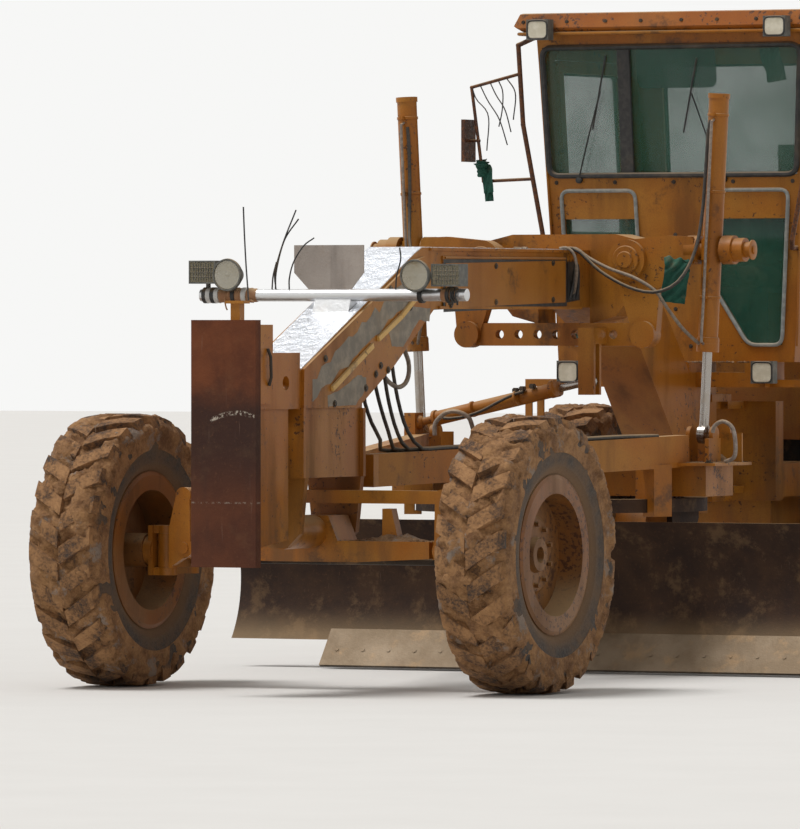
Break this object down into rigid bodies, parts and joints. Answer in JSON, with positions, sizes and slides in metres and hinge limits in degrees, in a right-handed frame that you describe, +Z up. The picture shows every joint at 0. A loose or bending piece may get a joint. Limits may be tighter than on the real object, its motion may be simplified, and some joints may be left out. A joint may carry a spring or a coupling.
{
  "type": "motor grader",
  "caption": "Motor grader with a push block, arched front frame, leaning steered wheels, drawbar, circle and curved blade, glazed cab and articulated tandem-drive rear frame.",
  "frame": {"origin": "centre of the bounding box at ground level, under the wheels", "axes": "+Z up, the machine faces -Y, its left side is +X"},
  "size_m": [3.66, 8.7599, 3.5],
  "materials": {
    "yellow_paint": "dusty satin, faded, with rust at the edges",
    "rusty_block": "dark red-brown rust",
    "bare_foil": "crumpled bright sheet",
    "bar_steel": "bright tube, scuffed",
    "plate_grey": "dull weathered sheet",
    "lamp_grey": "dusty housing",
    "lamp_lens": "clear lens",
    "roof_orange": "orange paint with rust spots",
    "cab_glass": "green tinted",
    "black_trim": "matt black",
    "seat_frame": "black paint",
    "seat_cover": "worn cover",
    "mirror_tube": "yellow paint gone to rust",
    "tyre_rubber": "rubber caked with dry mud",
    "rim_ochre": "ochre paint and dust",
    "link_steel": "dark greasy steel",
    "chrome_rod": "polished rod",
    "engine_iron": "dark cast iron",
    "grille_black": "black paint",
    "exhaust_rust": "heat-rusted steel",
    "blade_steel": "worn steel with brown soil",
    "edge_steel": "bright worn edge"
  },
  "bodies": {
    "front_frame": {"push_block": "rusty_block", "push_bracket": "yellow_paint", "main_frame": "yellow_paint", "slope_plate": "bare_foil", "lamp_bar": "bar_steel", "marker_plate": "plate_grey", "lamps": "lamp_grey", "lamp_lenses": "lamp_lens", "lift_arms": "yellow_paint", "cab_shell": "yellow_paint", "cab_roof": "roof_orange", "cab_glass": "cab_glass", "console": "black_trim", "seat": "seat_frame", "seat_cushions": "seat_cover", "mirror_frames": "mirror_tube", "cab_steps": "yellow_paint"},
    "door_left": {"door_left": "yellow_paint", "door_glass_left": "cab_glass"},
    "door_right": {"door_right": "yellow_paint", "door_glass_right": "cab_glass"},
    "front_axle": {"axle_beam": "yellow_paint"},
    "lean_left": {"lean_bracket_left": "yellow_paint"},
    "lean_right": {"lean_bracket_right": "yellow_paint"},
    "lean_bar": {"lean_bar": "yellow_paint"},
    "knuckle_left": {"knuckle_left": "yellow_paint"},
    "knuckle_right": {"knuckle_right": "yellow_paint"},
    "tie_rod_end": {"tie_rod_end": "link_steel"},
    "tie_rod": {"tie_rod": "link_steel"},
    "wheel_front_left": {"tyre_front_left": "tyre_rubber", "rim_front_left": "rim_ochre"},
    "wheel_front_right": {"tyre_front_right": "tyre_rubber", "rim_front_right": "rim_ochre"},
    "wheel_mid_left": {"tyre_mid_left": "tyre_rubber", "rim_mid_left": "rim_ochre"},
    "wheel_mid_right": {"tyre_mid_right": "tyre_rubber", "rim_mid_right": "rim_ochre"},
    "wheel_rear_left": {"tyre_rear_left": "tyre_rubber", "rim_rear_left": "rim_ochre"},
    "wheel_rear_right": {"tyre_rear_right": "tyre_rubber", "rim_rear_right": "rim_ochre"},
    "rear_frame": {"rear_frame": "yellow_paint", "hood": "yellow_paint", "engine_block": "engine_iron", "radiator_grille": "grille_black", "rear_lamps": "lamp_grey", "exhaust": "exhaust_rust"},
    "tandem_left": {"tandem_left": "yellow_paint"},
    "tandem_right": {"tandem_right": "yellow_paint"},
    "drawbar": {"drawbar": "yellow_paint"},
    "circle": {"circle_ring": "blade_steel"},
    "blade_carrier": {"blade_carrier": "yellow_paint"},
    "blade": {"moldboard": "blade_steel", "cutting_edge": "edge_steel"},
    "lift_barrel_left": {"lift_barrel_left": "yellow_paint"},
    "lift_barrel_right": {"lift_barrel_right": "yellow_paint"},
    "lift_rod_left": {"lift_rod_left": "chrome_rod"},
    "lift_rod_right": {"lift_rod_right": "chrome_rod"},
    "shift_barrel": {"shift_barrel": "yellow_paint"},
    "shift_rod": {"shift_rod": "chrome_rod"}
  },
  "joints": [
    {"name": "axle_rock", "type": "hinge", "parent": "front_frame", "child": "front_axle", "pos_m": [0, -3.32, 0.79], "axis": [0, 1, 0], "range_deg": [-16, 16]},
    {"name": "wheel_lean", "type": "hinge", "parent": "front_axle", "child": "lean_left", "pos_m": [0.72, -3.32, 0.7], "axis": [0, 1, 0], "range_deg": [-18, 18]},
    {"name": "wheel_lean_right", "type": "hinge", "parent": "front_axle", "child": "lean_right", "pos_m": [-0.72, -3.32, 0.7], "axis": [0, 1, 0], "range_deg": [-18, 18]},
    {"name": "lean_bar_pivot", "type": "hinge", "parent": "lean_left", "child": "lean_bar", "pos_m": [0.72, -3.32, 0.962], "axis": [0, 1, 0], "range_deg": [-18, 18]},
    {"name": "steering", "type": "hinge", "parent": "lean_left", "child": "knuckle_left", "pos_m": [0.87, -3.32, 0.685], "axis": [0, 0, 1], "range_deg": [-45, 45]},
    {"name": "steering_right", "type": "hinge", "parent": "lean_right", "child": "knuckle_right", "pos_m": [-0.87, -3.32, 0.685], "axis": [0, 0, 1], "range_deg": [-45, 45]},
    {"name": "tie_end_pivot", "type": "hinge", "parent": "knuckle_left", "child": "tie_rod_end", "pos_m": [0.87, -3.045, 0.636], "axis": [0, 0, 1], "range_deg": [-45, 45]},
    {"name": "tie_rod_pivot", "type": "hinge", "parent": "tie_rod_end", "child": "tie_rod", "pos_m": [0.87, -3.045, 0.636], "axis": [0, 1, 0], "range_deg": [-15, 15]},
    {"name": "roll_front_left", "type": "hinge", "parent": "knuckle_left", "child": "wheel_front_left", "pos_m": [1.125, -3.32, 0.685], "axis": [1, 0, 0], "continuous": true},
    {"name": "roll_front_right", "type": "hinge", "parent": "knuckle_right", "child": "wheel_front_right", "pos_m": [-1.125, -3.32, 0.685], "axis": [1, 0, 0], "continuous": true},
    {"name": "articulation", "type": "hinge", "parent": "front_frame", "child": "rear_frame", "pos_m": [0, 1.23, 1.15], "axis": [0, 0, 1], "range_deg": [-20, 20]},
    {"name": "tandem_rock_left", "type": "hinge", "parent": "rear_frame", "child": "tandem_left", "pos_m": [0.72, 2.88, 0.685], "axis": [1, 0, 0], "range_deg": [-15, 15]},
    {"name": "tandem_rock_right", "type": "hinge", "parent": "rear_frame", "child": "tandem_right", "pos_m": [-0.72, 2.88, 0.685], "axis": [1, 0, 0], "range_deg": [-15, 15]},
    {"name": "roll_mid_left", "type": "hinge", "parent": "tandem_left", "child": "wheel_mid_left", "pos_m": [1.125, 2.12, 0.685], "axis": [1, 0, 0], "continuous": true},
    {"name": "roll_mid_right", "type": "hinge", "parent": "tandem_right", "child": "wheel_mid_right", "pos_m": [-1.125, 2.12, 0.685], "axis": [1, 0, 0], "continuous": true},
    {"name": "roll_rear_left", "type": "hinge", "parent": "tandem_left", "child": "wheel_rear_left", "pos_m": [1.125, 3.64, 0.685], "axis": [1, 0, 0], "continuous": true},
    {"name": "roll_rear_right", "type": "hinge", "parent": "tandem_right", "child": "wheel_rear_right", "pos_m": [-1.125, 3.64, 0.685], "axis": [1, 0, 0], "continuous": true},
    {"name": "drawbar_lift", "type": "hinge", "parent": "front_frame", "child": "drawbar", "pos_m": [0, -3.058, 1.085], "axis": [1, 0, 0], "range_deg": [-15, 8]},
    {"name": "circle_turn", "type": "hinge", "parent": "drawbar", "child": "circle", "pos_m": [0, -0.55, 0.877], "axis": [0, 0, 1], "continuous": true},
    {"name": "blade_tip", "type": "hinge", "parent": "circle", "child": "blade_carrier", "pos_m": [0.56, -0.485, 0.265], "axis": [1, 0, 0], "range_deg": [-5, 40]},
    {"name": "blade_shift", "type": "slide", "parent": "blade_carrier", "child": "blade", "axis": [1, 0, 0], "range_m": [-0.45, 0.45]},
    {"name": "lift_swing_left", "type": "hinge", "parent": "front_frame", "child": "lift_barrel_left", "pos_m": [0.868, -0.55, 2.205], "axis": [1, 0, 0], "range_deg": [-3, 0.5]},
    {"name": "lift_swing_right", "type": "hinge", "parent": "front_frame", "child": "lift_barrel_right", "pos_m": [-0.868, -0.55, 2.205], "axis": [1, 0, 0], "range_deg": [-3, 0.5]},
    {"name": "lift_slide_left", "type": "slide", "parent": "lift_barrel_left", "child": "lift_rod_left", "axis": [0.0499, 0, 0.9988], "range_m": [-0.7, 0.37]},
    {"name": "lift_slide_right", "type": "slide", "parent": "lift_barrel_right", "child": "lift_rod_right", "axis": [-0.0499, 0, 0.9988], "range_m": [-0.7, 0.37]},
    {"name": "shift_swing", "type": "hinge", "parent": "drawbar", "child": "shift_barrel", "pos_m": [-0.745, -0.734, 1.3], "axis": [0.3791, -0.9175, -0.1199], "range_deg": [-17.5, 33]},
    {"name": "shift_slide", "type": "slide", "parent": "shift_barrel", "child": "shift_rod", "axis": [0.9764, 0, 0.2159], "range_m": [-0.12, 0.225]},
    {"name": "door_left_hinge", "type": "hinge", "parent": "front_frame", "child": "door_left", "pos_m": [0.71798, 1.852, 1.61404], "axis": [0.0532, 0, 0.9986], "range_deg": [0, 100]},
    {"name": "door_right_hinge", "type": "hinge", "parent": "front_frame", "child": "door_right", "pos_m": [-0.71798, 1.852, 1.61404], "axis": [0.0532, 0, -0.9986], "range_deg": [0, 100]}
  ],
  "couplings": [
    {"joint": "wheel_lean_right", "follows": "wheel_lean", "ratio": 1},
    {"joint": "lean_bar_pivot", "follows": "wheel_lean", "ratio": -1},
    {"joint": "steering_right", "follows": "steering", "ratio": 1},
    {"joint": "tie_end_pivot", "follows": "steering", "ratio": -1},
    {"joint": "tie_rod_pivot", "follows": "wheel_lean", "ratio": -0.829},
    {"joint": "lift_slide_left", "follows": "drawbar_lift", "m_per_rad": 2.51},
    {"joint": "lift_slide_right", "follows": "drawbar_lift", "m_per_rad": 2.51},
    {"joint": "shift_swing", "follows": "drawbar_lift", "ratio": -2.157},
    {"joint": "shift_slide", "follows": "drawbar_lift", "m_per_rad": -0.84}
  ]
}
